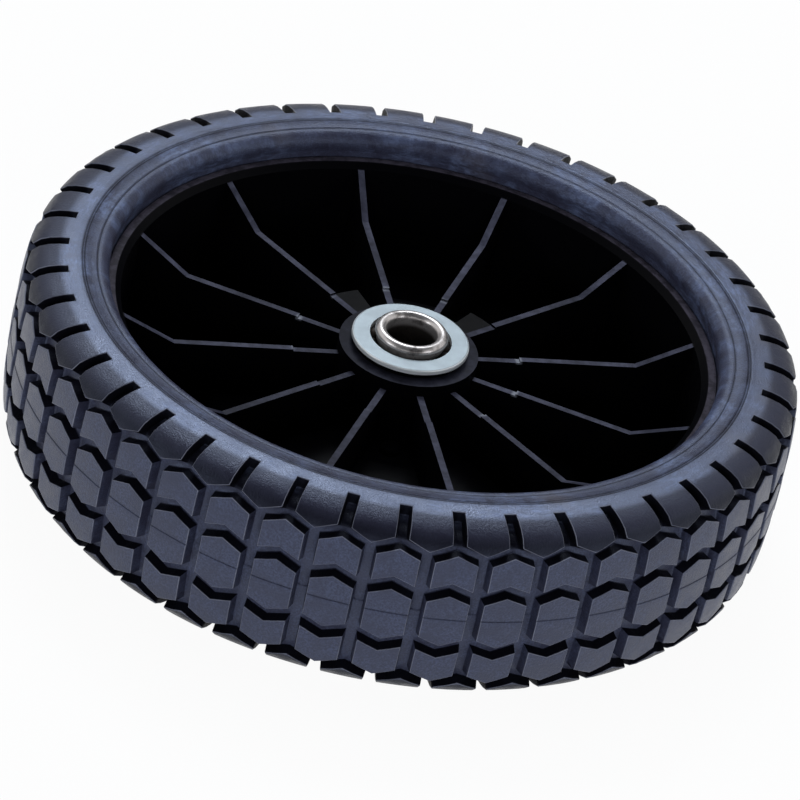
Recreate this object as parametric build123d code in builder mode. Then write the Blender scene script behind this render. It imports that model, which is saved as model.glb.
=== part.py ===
from build123d import *
from math import radians, sqrt, tan
import os

os.makedirs("parts", exist_ok=True)

# A mower wheel lying flat, in millimetres. The wheel's axis is Z and the tyre's mid-plane is Z = 0.
# +Z is the ribbed side, which faces the mower.

# Tyre section. The shares are parts of the section height, which runs from the rim's seat to the crown.
TYRE_DIAMETER = 197.0
TYRE_WIDTH = 50.0
SECTION_HEIGHT = 21.5
WIDEST_SHARE = 7.5 / 21.5
TREAD_WIDTH = 47.3
SHOULDER_SHARE = 6.5 / 21.5
SHOULDER_INSET = 1.9
BEAD_HEIGHT = 24.5
BEAD_ROLL = 2.4
BEAD_INSET = 0.7
TYRE_FIT = 0.1

# Tread
PITCHES = 44
TREAD_DEPTH = 2.6
BLOCK_WIDTH = 10.7
CHEVRON_RISE = 2.1
MIDDLE_BLOCK_LENGTH = 14.6
SIDE_BLOCK_LENGTH = 7.6
ROW_GROOVE = 3.7
SHOULDER_GROOVE = 3.0
LUG_GROOVE = 3.4
LUG_SHARE = 10.7 / 21.5
LUG_STEP = 0.2
TREAD_ROOT = 1.0
FLOOR_LEDGE = 0.4
TYRE_CLOCKING = 3.75

# Rim
BARREL_WALL = 3.6
LIP_HEIGHT = 17.8
LIP_WIDTH = 2.0
LIP_CHAMFER = 1.5
LOCK_RIDGE_HEIGHT = 3.0
LOCK_RIDGE_WIDTH = 12.0
LOCK_RIDGE_TOP = 9.0
DISC_WALL = 2.8
FLOOR_HEIGHT = -5.1
FLOOR_RADIUS = 47.5
FLOOR_DROP = 9.4
DISH_ANGLE = 45.0
FLOOR_ROUND = 6.0
HUB_STEP_RADIUS = 29.3
HUB_STEP = 0.5
RIBS = 12
RIB_WALL = 1.7
RIB_TOP = 9.2
RIB_KNEE_RADIUS = 59.6
RIB_END_HEIGHT = 16.4
BOSS_DIAMETER = 35.3
BOSS_HEIGHT = 11.5
SEAT_RING_DIAMETER = 28.0
HUB_HOLE_DIAMETER = 20.0

# Two half-pockets beside the hub are filled level with the ribs: (rib number, side of that rib).
PADS = ((4, -1), (1, 1))
PAD_ANGLE = 15.0
DOME_DIAMETER = 5.5
DOME_HEIGHT = 1.8
DOME_EDGE = 1.2
DOME_CIRCLE_RADIUS = 22.0
DOME_ANGLE = -105.0

# Bearings
AXLE_BORE = 12.8
BALL_DIAMETER = 4.762
BALLS = 12
BALL_CIRCLE = 19.2
RACE_CLEARANCE = 0.06
FLANGE_DIAMETER = 29.7
FLANGE_HOLE = 20.8
FLANGE_TOP = 14.3
FLANGE_WALL = 1.25
FLANGE_EDGE = 0.45
CUP_WALL = 0.9
CUP_FIT = 0.03
RACE_LIP_WALL = 2.9
RACE_LIP_TOP = 16.7
RACE_SHOULDER_RADIUS = 8.5
RACE_TAIL = 4.4

# Sizes that follow
CROWN = TYRE_DIAMETER / 2
SEAT_RADIUS = CROWN - SECTION_HEIGHT
WIDEST_RADIUS = SEAT_RADIUS + WIDEST_SHARE * SECTION_HEIGHT
SHOULDER_BEVEL = SHOULDER_SHARE * SECTION_HEIGHT
LUG_END_RADIUS = CROWN - LUG_SHARE * SECTION_HEIGHT
TYRE_BORE = SEAT_RADIUS + TYRE_FIT
SIDE_SLOPE = (TYRE_WIDTH - TREAD_WIDTH) / 2 / (CROWN - WIDEST_RADIUS)
PITCH_ANGLE = 360 / PITCHES
HALF_PITCH = CROWN * tan(radians(PITCH_ANGLE / 2))
HALF_BLOCK = BLOCK_WIDTH / 2
FLOOR = CROWN - TREAD_DEPTH
CHEVRON_SLOPE = CHEVRON_RISE / HALF_BLOCK
MIDDLE_TIP = MIDDLE_BLOCK_LENGTH / 2
CHEVRON_IN = MIDDLE_TIP + ROW_GROOVE
CHEVRON_OUT = CHEVRON_IN + SIDE_BLOCK_LENGTH
LUG_TIP = CHEVRON_OUT + SHOULDER_GROOVE - CHEVRON_SLOPE * HALF_PITCH
SHOULDER_START = (CHEVRON_OUT + LUG_TIP) / 2
BARREL = SEAT_RADIUS - BARREL_WALL
LIP_INNER = SEAT_RADIUS - LIP_WIDTH
RIDGE_RADIUS = SEAT_RADIUS + LOCK_RIDGE_HEIGHT
RING_HEIGHT = FLOOR_HEIGHT - FLOOR_DROP
RING_RADIUS = FLOOR_RADIUS + FLOOR_DROP / tan(radians(DISH_ANGLE))
DISC_MITRE = DISC_WALL * tan(radians(DISH_ANGLE / 2))
BOSS = BOSS_DIAMETER / 2
BORE = AXLE_BORE / 2
CIRCLE = BALL_CIRCLE / 2
GROOVE = BALL_DIAMETER / 2 + RACE_CLEARANCE
FLANGE_UNDER = FLANGE_TOP - FLANGE_WALL
BALL_PLANE = FLANGE_UNDER - GROOVE
CUP = CIRCLE + GROOVE + CUP_WALL
POCKET = CUP + CUP_FIT
POCKET_FLOOR = BALL_PLANE - GROOVE - CUP_WALL


def side_height(radius):
    """Height of the sidewall above the mid-plane at a radius between the bead and the tread."""
    return TYRE_WIDTH / 2 - SIDE_SLOPE * (radius - WIDEST_RADIUS)


def groove_height(radius):
    """How far a ball groove reaches from the ball plane at a radius inside the groove."""
    return sqrt(GROOVE**2 - (radius - CIRCLE) ** 2)


def below(points):
    """The same points on the other side of the mid-plane, in reverse order."""
    return [(radius, -height) for radius, height in reversed(points)]


# Tread blocks of one pitch: a hexagon on the mid-plane and a chevron on each side of it.
# The footprints are drawn on the plane that touches the crown and looks in towards the axis.
tread_plane = Plane(origin=(CROWN, 0, 0), x_dir=(0, 1, 0), z_dir=(-1, 0, 0))
hexagon_half = [
    (-HALF_BLOCK, MIDDLE_TIP - CHEVRON_RISE),
    (0, MIDDLE_TIP),
    (HALF_BLOCK, MIDDLE_TIP - CHEVRON_RISE),
]
chevron = [
    (-HALF_BLOCK, CHEVRON_IN - CHEVRON_RISE),
    (-HALF_BLOCK, CHEVRON_OUT - CHEVRON_RISE),
    (0, CHEVRON_OUT),
    (HALF_BLOCK, CHEVRON_OUT - CHEVRON_RISE),
    (HALF_BLOCK, CHEVRON_IN - CHEVRON_RISE),
    (0, CHEVRON_IN),
]
with BuildPart() as block_column:
    with BuildSketch(tread_plane):
        Polygon(*hexagon_half, *below(hexagon_half), align=None)
        Polygon(*chevron, align=None)
        Polygon(*below(chevron), align=None)
    extrude(amount=TREAD_DEPTH + TREAD_ROOT)

# Shoulder lugs of one pitch: each has a V tip in the zigzag groove and runs down the sidewall,
# where it stands a little proud and ends in a small step.
lug_half = HALF_PITCH - LUG_GROOVE / 2
bevel_end = CROWN - SHOULDER_BEVEL
lug_end = LUG_END_RADIUS - TREAD_ROOT
lug_floor = side_height(LUG_END_RADIUS) - TREAD_DEPTH
lug_profile = [
    (CROWN - TREAD_DEPTH - TREAD_ROOT, LUG_TIP - TREAD_ROOT),
    (CROWN, LUG_TIP - TREAD_ROOT),
    (CROWN, SHOULDER_START),
    (CROWN - SHOULDER_INSET, TREAD_WIDTH / 2 - SHOULDER_INSET),
    (bevel_end, side_height(bevel_end) + LUG_STEP),
    (lug_end, side_height(lug_end) + LUG_STEP),
    (lug_end, lug_floor - TREAD_ROOT),
]
lug_v = [
    (0, LUG_TIP),
    (lug_half + TREAD_ROOT, LUG_TIP + CHEVRON_SLOPE * (lug_half + TREAD_ROOT)),
    (lug_half + TREAD_ROOT, TYRE_WIDTH / 2 + TREAD_ROOT),
    (-lug_half - TREAD_ROOT, TYRE_WIDTH / 2 + TREAD_ROOT),
    (-lug_half - TREAD_ROOT, LUG_TIP + CHEVRON_SLOPE * (lug_half + TREAD_ROOT)),
]
with BuildPart() as lug_pair:
    with BuildSketch(Plane.XZ):
        Polygon(*lug_profile, align=None)
        Polygon(*below(lug_profile), align=None)
    extrude(amount=lug_half, both=True)
    with BuildSketch(tread_plane.offset(-TREAD_ROOT)):
        Polygon(*lug_v, align=None)
        Polygon(*below(lug_v), align=None)
    extrude(amount=CROWN, mode=Mode.INTERSECT)

# Tyre: one solid rubber ring with its blocks and lugs, and a groove inside for the locking ridge
with BuildPart() as tyre:
    with BuildSketch(Plane.XZ):
        upper = [
            (FLOOR - FLOOR_LEDGE, SHOULDER_START),
            (LUG_END_RADIUS, lug_floor),
            (LUG_END_RADIUS, side_height(LUG_END_RADIUS)),
            (WIDEST_RADIUS, TYRE_WIDTH / 2),
            (TYRE_BORE + BEAD_ROLL, BEAD_HEIGHT),
            (TYRE_BORE + BEAD_INSET, BEAD_HEIGHT - BEAD_INSET),
            (TYRE_BORE, BEAD_HEIGHT - BEAD_ROLL),
            (TYRE_BORE, LOCK_RIDGE_WIDTH / 2 + TYRE_FIT),
            (RIDGE_RADIUS + TYRE_FIT, LOCK_RIDGE_TOP / 2 + TYRE_FIT),
        ]
        with BuildLine():
            Polyline(*upper, *below(upper), close=True)
        make_face()
    revolve(axis=Axis.Z)
    # The floor under the blocks is flat in each pitch.
    with BuildSketch():
        RegularPolygon(FLOOR, PITCHES, major_radius=False, rotation=TYRE_CLOCKING + PITCH_ANGLE / 2)
        Circle(FLOOR - TREAD_DEPTH, mode=Mode.SUBTRACT)
    extrude(amount=SHOULDER_START + FLOOR_LEDGE / 2, both=True)
    with PolarLocations(0, PITCHES, start_angle=TYRE_CLOCKING):
        add(block_column.part)
    with PolarLocations(0, PITCHES, start_angle=TYRE_CLOCKING + PITCH_ANGLE / 2):
        add(lug_pair.part)
tyre.part.label = "tyre"
export_step(tyre.part, "parts/tyre.step")

# One rib of the rim, whose foot runs inside the thickness of the disc
disc_middle = DISC_WALL / 2
rib_root = (BOSS + SEAT_RING_DIAMETER / 2) / 2
rib_end = BARREL + BARREL_WALL / 2
with BuildPart() as rib:
    with BuildSketch(Plane.XZ):
        with BuildLine():
            Polyline(
                (rib_root, RIB_TOP - HUB_STEP),
                (HUB_STEP_RADIUS, RIB_TOP - HUB_STEP),
                (HUB_STEP_RADIUS, RIB_TOP),
                (RIB_KNEE_RADIUS, RIB_TOP),
                (BARREL, RIB_END_HEIGHT),
                (rib_end, RIB_END_HEIGHT),
                (rib_end, RING_HEIGHT - disc_middle),
                (RING_RADIUS, RING_HEIGHT - disc_middle),
                (FLOOR_RADIUS, FLOOR_HEIGHT - disc_middle),
                (rib_root, FLOOR_HEIGHT - disc_middle),
                close=True,
            )
        make_face()
    extrude(amount=RIB_WALL / 2, both=True)

# Rim: one moulding with the barrel that carries the tyre, the dished disc, the hub and the ribs
hub_profile = [
    (HUB_HOLE_DIAMETER / 2, POCKET_FLOOR),
    (POCKET, POCKET_FLOOR),
    (POCKET, FLANGE_UNDER),
    (SEAT_RING_DIAMETER / 2, FLANGE_UNDER),
    (SEAT_RING_DIAMETER / 2, BOSS_HEIGHT),
    (BOSS, BOSS_HEIGHT),
]
barrel_profile = [
    (BARREL, LIP_HEIGHT - LIP_CHAMFER),
    (LIP_INNER, LIP_HEIGHT),
    (SEAT_RADIUS, LIP_HEIGHT),
    (SEAT_RADIUS, LOCK_RIDGE_WIDTH / 2),
    (RIDGE_RADIUS, LOCK_RIDGE_TOP / 2),
]
with BuildPart() as rim:
    with BuildSketch(Plane.XZ):
        with BuildLine():
            hub_side = Polyline(
                *below(hub_profile),
                *hub_profile,
                (BOSS, FLOOR_HEIGHT - HUB_STEP),
                (HUB_STEP_RADIUS - HUB_STEP, FLOOR_HEIGHT - HUB_STEP),
                (HUB_STEP_RADIUS, FLOOR_HEIGHT),
            )
            floor = FilletPolyline(
                hub_side @ 1,
                (FLOOR_RADIUS, FLOOR_HEIGHT),
                (RING_RADIUS, RING_HEIGHT),
                (BARREL, RING_HEIGHT),
                radius=FLOOR_ROUND,
            )
            barrel_side = Polyline(
                floor @ 1,
                *barrel_profile,
                *below(barrel_profile)[:-1],
                (LIP_INNER - DISC_MITRE, RING_HEIGHT - DISC_WALL),
            )
            FilletPolyline(
                barrel_side @ 1,
                (RING_RADIUS - DISC_MITRE, RING_HEIGHT - DISC_WALL),
                (FLOOR_RADIUS - DISC_MITRE, FLOOR_HEIGHT - DISC_WALL),
                (BOSS, FLOOR_HEIGHT - DISC_WALL),
                radius=FLOOR_ROUND,
            )
            Line((BOSS, FLOOR_HEIGHT - DISC_WALL), hub_side @ 0)
        make_face()
    revolve(axis=Axis.Z)
    with PolarLocations(0, RIBS):
        add(rib.part)
    with BuildSketch(Plane.XY.offset(FLOOR_HEIGHT - disc_middle)):
        for rib_number, rib_side in PADS:
            rib_angle = rib_number * 360 / RIBS
            with BuildLine():
                outer_arc = CenterArc((0, 0), HUB_STEP_RADIUS, rib_angle, rib_side * PAD_ANGLE)
                inner_arc = CenterArc((0, 0), rib_root, rib_angle, rib_side * PAD_ANGLE)
                Line(outer_arc @ 0, inner_arc @ 0)
                Line(outer_arc @ 1, inner_arc @ 1)
            make_face()
    extrude(amount=RIB_TOP - HUB_STEP - FLOOR_HEIGHT + disc_middle)
    with BuildSketch(Plane.XY.offset(FLOOR_HEIGHT - disc_middle)):
        with PolarLocations(DOME_CIRCLE_RADIUS, 1, start_angle=DOME_ANGLE):
            Circle(DOME_DIAMETER / 2)
    extrude(amount=DOME_HEIGHT - HUB_STEP + disc_middle)
    dome_edges = rim.edges(Select.LAST).filter_by(GeomType.CIRCLE)
    fillet(dome_edges.sort_by(Axis.Z)[-1], DOME_EDGE)
rim.part.label = "rim"
export_step(rim.part, "parts/rim.step")


def section_plane(direction):
    """Half-section of one side of the wheel: across is the radius, up is away from the mid-plane."""
    return Plane(origin=(0, 0, 0), x_dir=(1, 0, 0), z_dir=(0, -direction, 0))


# Bearings: the same five pressed pieces on each side of the hub
for side, direction in (("inner", 1), ("outer", -1)):
    plane = section_plane(direction)

    with BuildPart() as flanged_cup:
        with BuildSketch(plane) as cup_section:
            with BuildLine():
                cup_line = Polyline(
                    (FLANGE_HOLE / 2, BALL_PLANE + groove_height(FLANGE_HOLE / 2)),
                    (FLANGE_HOLE / 2, FLANGE_TOP),
                    (FLANGE_DIAMETER / 2, FLANGE_TOP),
                    (FLANGE_DIAMETER / 2, FLANGE_UNDER),
                    (CUP, FLANGE_UNDER),
                    (CUP, BALL_PLANE),
                    (CIRCLE + GROOVE, BALL_PLANE),
                )
                TangentArc(cup_line @ 1, cup_line @ 0, tangent=(0, 1))
            make_face()
            fillet(cup_section.vertices().group_by(Axis.X)[-1].sort_by(Axis.Y)[-1], FLANGE_EDGE)
        revolve(axis=Axis.Z)
    flanged_cup.part.label = f"{side}_bearing_flanged_cup"
    export_step(flanged_cup.part, f"parts/{side}_bearing_flanged_cup.step")

    with BuildPart() as rear_shell:
        with BuildSketch(plane):
            with BuildLine():
                shell_line = Polyline(
                    (FLANGE_HOLE / 2, BALL_PLANE - groove_height(FLANGE_HOLE / 2)),
                    (FLANGE_HOLE / 2, POCKET_FLOOR),
                    (CUP, POCKET_FLOOR),
                    (CUP, BALL_PLANE),
                    (CIRCLE + GROOVE, BALL_PLANE),
                )
                TangentArc(shell_line @ 1, shell_line @ 0, tangent=(0, -1))
            make_face()
        revolve(axis=Axis.Z)
    rear_shell.part.label = f"{side}_bearing_rear_shell"
    export_step(rear_shell.part, f"parts/{side}_bearing_rear_shell.step")

    lip_middle = RACE_LIP_TOP - RACE_LIP_WALL / 2
    with BuildPart() as front_race:
        with BuildSketch(plane):
            with BuildLine():
                race_line = Polyline(
                    (RACE_SHOULDER_RADIUS, BALL_PLANE + groove_height(RACE_SHOULDER_RADIUS)),
                    (BORE + RACE_LIP_WALL, lip_middle),
                )
                ThreePointArc(
                    race_line @ 1,
                    (BORE + RACE_LIP_WALL / 2, RACE_LIP_TOP),
                    (BORE, lip_middle),
                )
                race_wall = Polyline((BORE, lip_middle), (BORE, BALL_PLANE), (CIRCLE - GROOVE, BALL_PLANE))
                TangentArc(race_wall @ 1, race_line @ 0, tangent=(0, 1))
            make_face()
        revolve(axis=Axis.Z)
    front_race.part.label = f"{side}_bearing_front_race"
    export_step(front_race.part, f"parts/{side}_bearing_front_race.step")

    with BuildPart() as rear_race:
        with BuildSketch(plane):
            with BuildLine():
                tail_line = Polyline(
                    (RACE_SHOULDER_RADIUS, BALL_PLANE - groove_height(RACE_SHOULDER_RADIUS)),
                    (RACE_SHOULDER_RADIUS, BALL_PLANE - RACE_TAIL),
                    (BORE, BALL_PLANE - RACE_TAIL),
                    (BORE, BALL_PLANE),
                    (CIRCLE - GROOVE, BALL_PLANE),
                )
                TangentArc(tail_line @ 1, tail_line @ 0, tangent=(0, -1))
            make_face()
        revolve(axis=Axis.Z)
    rear_race.part.label = f"{side}_bearing_rear_race"
    export_step(rear_race.part, f"parts/{side}_bearing_rear_race.step")

    with BuildPart(Plane.XY.offset(direction * BALL_PLANE)) as balls:
        with PolarLocations(CIRCLE, BALLS):
            Sphere(BALL_DIAMETER / 2)
    balls.part.label = f"{side}_bearing_balls"
    export_step(balls.part, f"parts/{side}_bearing_balls.step")
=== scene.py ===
"""Mower wheel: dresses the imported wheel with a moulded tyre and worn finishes, in a pale studio."""

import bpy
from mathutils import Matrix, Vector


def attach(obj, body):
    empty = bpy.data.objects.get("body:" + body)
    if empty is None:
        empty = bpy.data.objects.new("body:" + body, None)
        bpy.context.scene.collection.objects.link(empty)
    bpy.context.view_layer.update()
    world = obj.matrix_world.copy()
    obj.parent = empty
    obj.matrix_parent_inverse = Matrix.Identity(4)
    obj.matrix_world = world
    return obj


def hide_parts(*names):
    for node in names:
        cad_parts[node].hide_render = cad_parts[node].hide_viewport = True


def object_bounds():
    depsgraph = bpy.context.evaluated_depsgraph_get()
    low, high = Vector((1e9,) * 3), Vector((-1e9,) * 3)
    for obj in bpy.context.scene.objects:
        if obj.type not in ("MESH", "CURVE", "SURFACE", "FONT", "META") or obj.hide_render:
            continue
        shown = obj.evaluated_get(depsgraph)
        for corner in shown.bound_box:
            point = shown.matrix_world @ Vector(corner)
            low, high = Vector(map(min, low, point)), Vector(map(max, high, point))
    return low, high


bl_info = {
    "name": "Mower Wheel",
    "version": (1, 0, 0),
    "blender": (4, 5, 0),
    "location": "View3D > Sidebar > Mower Wheel",
    "description": "Builds the tyre, the finishes and the studio of a mower wheel round its packed model",
    "category": "Object",
}

import math

import bmesh
import bpy
import numpy as np
from mathutils import Matrix, Vector
from mathutils.geometry import delaunay_2d_cdt

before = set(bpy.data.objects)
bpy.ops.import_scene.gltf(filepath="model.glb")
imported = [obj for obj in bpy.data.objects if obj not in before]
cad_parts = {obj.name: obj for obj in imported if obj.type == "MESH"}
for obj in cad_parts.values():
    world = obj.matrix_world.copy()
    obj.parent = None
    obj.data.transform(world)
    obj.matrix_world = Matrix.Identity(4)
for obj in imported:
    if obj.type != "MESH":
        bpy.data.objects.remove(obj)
CAD_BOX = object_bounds()

MM = 0.001
SIDES = ("inner", "outer")


class WheelTyreSettings(bpy.types.PropertyGroup):
    """Sizes and colours of the tyre"""

    crown_radius: bpy.props.FloatProperty(
        name="Crown radius", description="Radius over the middle tread blocks",
        default=0.09845, unit="LENGTH",
    )
    pitches: bpy.props.IntProperty(name="Pitches", description="Tread pitches round the tyre", default=44)
    clocking: bpy.props.FloatProperty(
        name="Clocking", description="Angle of the first column of blocks",
        default=math.radians(3.75), subtype="ANGLE",
    )
    block_width: bpy.props.FloatProperty(
        name="Block width", description="Width of a tread block at its top",
        default=0.0105, unit="LENGTH",
    )
    lug_groove: bpy.props.FloatProperty(
        name="Lug groove", description="Width of the slots between the shoulder lugs",
        default=0.0034, unit="LENGTH",
    )
    lug_end_radius: bpy.props.FloatProperty(
        name="Lug end radius", description="Radius where the shoulder slots end",
        default=0.0878, unit="LENGTH",
    )
    tread_depth: bpy.props.FloatProperty(
        name="Tread depth", description="Depth of the grooves", default=0.0032, unit="LENGTH"
    )
    rubber: bpy.props.FloatVectorProperty(
        name="Rubber", description="Clean rubber", default=(0.027, 0.0265, 0.046), subtype="COLOR"
    )
    bloom: bpy.props.FloatVectorProperty(
        name="Bloom", description="Pale bloom and dust on the sidewall and the blocks",
        default=(0.115, 0.145, 0.250), subtype="COLOR",
    )
    # Painted shade: the colour that grooves, slots, fine lines and the lugs' tips are darkened towards
    painted_shade: bpy.props.FloatVectorProperty(
        name="Groove", description="Rubber down in the grooves and at the lugs' tips",
        default=(0.003, 0.003, 0.005), subtype="COLOR",
    )
    sheen: bpy.props.FloatVectorProperty(
        name="Sheen", description="Cast of the rubber's shine", default=(0.58, 0.70, 1.0), subtype="COLOR"
    )
    # The blocks' and lugs' top edges: rubbed pale, with a painted highlight along them
    edge: bpy.props.FloatVectorProperty(
        name="Edge", description="Rubbed edges of the blocks and lugs",
        default=(0.200, 0.205, 0.250), subtype="COLOR",
    )
    stain: bpy.props.FloatVectorProperty(
        name="Stain", description="Brown stains on the sidewall",
        default=(0.075, 0.058, 0.048), subtype="COLOR",
    )


class WheelRimSettings(bpy.types.PropertyGroup):
    """Ribs and colours of the rim"""

    ribs: bpy.props.IntProperty(name="Ribs", description="Ribs round the hub", default=12)
    plastic: bpy.props.FloatVectorProperty(
        name="Plastic", description="Black moulded plastic",
        default=(0.0016, 0.0016, 0.0022), subtype="COLOR",
    )
    scuffed: bpy.props.FloatVectorProperty(
        name="Scuffed", description="Rubbed tops of the ribs and the boss",
        default=(0.082, 0.084, 0.122), subtype="COLOR",
    )
    dirt: bpy.props.FloatVectorProperty(
        name="Dirt", description="Grey dirt on the lip, beside the tyre",
        default=(0.052, 0.046, 0.062), subtype="COLOR",
    )
    # Painted highlight: glints on the ribs where they step down
    painted_glint: bpy.props.FloatVectorProperty(
        name="Glint", description="Bright nicks where the ribs step down",
        default=(0.22, 0.23, 0.27), subtype="COLOR",
    )


class WheelBearingSettings(bpy.types.PropertyGroup):
    """Colours of the bearings"""

    zinc: bpy.props.FloatVectorProperty(
        name="Zinc", description="Dull zinc plate of the flanges",
        default=(0.31, 0.362, 0.395), subtype="COLOR",
    )
    # Painted highlight along the flanges' edges
    bright: bpy.props.FloatVectorProperty(
        name="Bright edge", description="Edges of the flanges rubbed bright",
        default=(0.80, 0.83, 0.84), subtype="COLOR",
    )
    steel: bpy.props.FloatVectorProperty(
        name="Steel", description="Bare steel of the races", default=(0.50, 0.47, 0.46), subtype="COLOR"
    )
    grime: bpy.props.FloatVectorProperty(
        name="Grime", description="Brown dirt on the races and the balls",
        default=(0.040, 0.030, 0.024), subtype="COLOR",
    )
    grease: bpy.props.FloatVectorProperty(
        name="Grease", description="Old black grease round the balls",
        default=(0.006, 0.005, 0.005), subtype="COLOR",
    )


class WheelStageSettings(bpy.types.PropertyGroup):
    """Camera, floor and light"""

    aim_height: bpy.props.FloatProperty(
        name="Aim height", description="Height of the point the camera is set up on",
        default=0.01778, unit="LENGTH",
    )
    distance: bpy.props.FloatProperty(
        name="Distance", description="Camera to the aim point", default=1.3301, unit="LENGTH"
    )
    elevation: bpy.props.FloatProperty(
        name="Elevation", description="Camera above the horizon",
        default=math.radians(32.543), subtype="ANGLE",
    )
    azimuth: bpy.props.FloatProperty(
        name="Azimuth", description="Camera round the axle",
        default=math.radians(-107.66), subtype="ANGLE",
    )
    roll: bpy.props.FloatProperty(
        name="Roll", description="Tilt of the picture", default=math.radians(-12.81), subtype="ANGLE"
    )
    aim_pixel: bpy.props.FloatVectorProperty(
        name="Aim pixel", description="Where the aim point falls in the picture",
        default=(413.59, 325.30), size=2,
    )
    focal_pixels: bpy.props.FloatProperty(
        name="Focal length", description="Focal length in pixels of the picture", default=5348.75
    )
    picture: bpy.props.IntProperty(
        name="Picture", description="Side of the picture in pixels", default=800
    )
    floor: bpy.props.FloatVectorProperty(
        name="Floor", description="Pale floor", default=(0.86, 0.87, 0.89), subtype="COLOR"
    )


# Outlines in the unrolled tread, in millimetres: s runs round the tyre and t runs across it


def steps(start, stop, step):
    """Even steps from a start, short of a stop."""
    return [start + step * k for k in range(math.ceil((stop - start) / step))]


def divided(points, closed, spacing):
    """Divides an outline's long runs."""
    points = [Vector(p) for p in points]
    out = []
    for start, end in zip(points, points[1:] + points[:1] if closed else points[1:]):
        parts = max(1, round((end - start).length / spacing))
        out.extend(start.lerp(end, k / parts) for k in range(parts))
    if not closed:
        out.append(points[-1])
    return out


def outset(points, closed, distance):
    """Moves an outline away from its rubber, which is on the left of its run."""
    count = len(points)
    normals = []
    for i in range(count if closed else count - 1):
        along = (points[(i + 1) % count] - points[i]).normalized()
        normals.append(Vector((along.y, -along.x)))
    moved = []
    for i, point in enumerate(points):
        if not closed and i in (0, count - 1):
            # The ends of an open line stay on the edge of the pitch.
            end = normals[0] if i == 0 else normals[-1]
            moved.append(point + Vector((0, distance / end.y)))
            continue
        pair = normals[i - 1] + normals[i]
        moved.append(point + pair * (2 * distance / pair.length_squared))
    return moved


def inside(point, outline):
    """True if a point lies in a closed outline."""
    x, y = point
    hit = False
    for a, b in zip(outline, outline[1:] + outline[:1]):
        if (a[1] > y) != (b[1] > y) and x < (b[0] - a[0]) * (y - a[1]) / (b[1] - a[1]) + a[0]:
            hit = not hit
    return hit


# Half-section of the tyre's outside in millimetres: drop below the crown radius and height over the tread,
# then radius and height down the sidewall, round the bead and into the bore
CROWN_DROPS = ((0.0, 0.0), (0.04, 5.5), (0.15, 10.0), (0.42, 14.5), (0.80, 17.8), (1.85, 20.9), (3.4, 22.5))
SHOULDER_POINTS = ((92.2, 23.75), (90.0, 24.25), (87.8, 24.55), (86.0, 24.76), (84.6, 24.86))
BEAD_POINTS = (
    (83.0, 24.74), (81.6, 24.48), (80.5, 24.36), (79.5, 24.30), (78.6, 23.95),
    (77.8, 23.25), (77.25, 22.3), (77.0, 21.2), (77.1, 20.1), (77.4, 19.1),
)
BORE_POINTS = ((77.15, 6.1), (80.15, 4.6))


class TyreSection:
    """The outside of the tyre from the mid-plane to the bead, followed by its length, in millimetres."""

    SAMPLES = 1500

    def __init__(self, points):
        """Draws a smooth curve through the points, level where it crosses the mid-plane."""
        points = np.array(points, float)
        mirrored = np.array([[points[1][0], -points[1][1]]])
        knots = np.vstack([mirrored, points])
        run = np.concatenate([[0], np.cumsum(np.linalg.norm(np.diff(knots, axis=0), axis=1))])
        slope = np.gradient(knots, run, axis=0)
        place = np.linspace(run[1], run[-1], self.SAMPLES)
        k = np.clip(np.searchsorted(run, place, side="right") - 1, 0, len(run) - 2)
        gap = (run[k + 1] - run[k])[:, None]
        part = ((place - run[k])[:, None]) / gap
        curve = (
            (1 + 2 * part) * (1 - part) ** 2 * knots[k]
            + part * (1 - part) ** 2 * gap * slope[k]
            + part**2 * (3 - 2 * part) * knots[k + 1]
            + part**2 * (part - 1) * gap * slope[k + 1]
        )
        self.length = np.concatenate([[0], np.cumsum(np.linalg.norm(np.diff(curve, axis=0), axis=1))])
        self.radius, self.height = curve[:, 0], curve[:, 1]
        tangent = np.gradient(curve, self.length, axis=0)
        tangent /= np.linalg.norm(tangent, axis=1)[:, None]
        self.out_radius, self.out_height = tangent[:, 1], -tangent[:, 0]

    def at(self, t, depth=0.0):
        """Radius and height at a length across the tyre and a depth under its surface."""
        side = -1 if t < 0 else 1
        run = abs(t)
        radius, height, out_radius, out_height = (
            np.interp(run, self.length, values)
            for values in (self.radius, self.height, self.out_radius, self.out_height)
        )
        return radius - depth * out_radius, side * (height - depth * out_height)

    def length_at_height(self, height):
        """Length across the tyre to a height, short of the widest place."""
        widest = np.argmax(self.height)
        return float(np.interp(height, self.height[:widest], self.length[:widest]))

    def length_at_radius(self, radius):
        """Length across the tyre to a radius, short of the bead's lowest place."""
        narrowest = np.argmin(self.radius)
        return float(np.interp(-radius, -self.radius[:narrowest], self.length[:narrowest]))


# Tread outlines in millimetres from the mid-plane: the middle hexagon, the chevron beside it, and the
# heights of the shoulder lugs' V tips and of the corners where the slots between them begin
HEXAGON_CORNER = 5.2
HEXAGON_TIP = 7.3
CHEVRON_CORNERS = (8.95, 16.3)
CHEVRON_TIPS = (10.95, 18.55)
LUG_TIP_HEIGHT = 18.7
LUG_CORNER_HEIGHT = 20.9

# Parting line of the mould across the middle blocks: places, depths there, and how much painted shade lies in
# the crack
PARTING_HEIGHTS = (0.40, 0.54, 0.66, 0.84)
PARTING_DEPTHS = (-0.04, 0.17, 0.17, 0.07)
PARTING_LINE = (0.0, 0.8, 0.8, 0.0)

# Groove floor: its step at the parting line, its share of painted shade between the blocks and between the
# lugs, and the span across the tyre over which that changes
FLOOR_STEP = 0.40
OPEN_FLOOR = 0.10
SHADED_FLOOR = 0.60
FLOOR_SHADE_SPAN = (17.5, 19.5)
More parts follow.
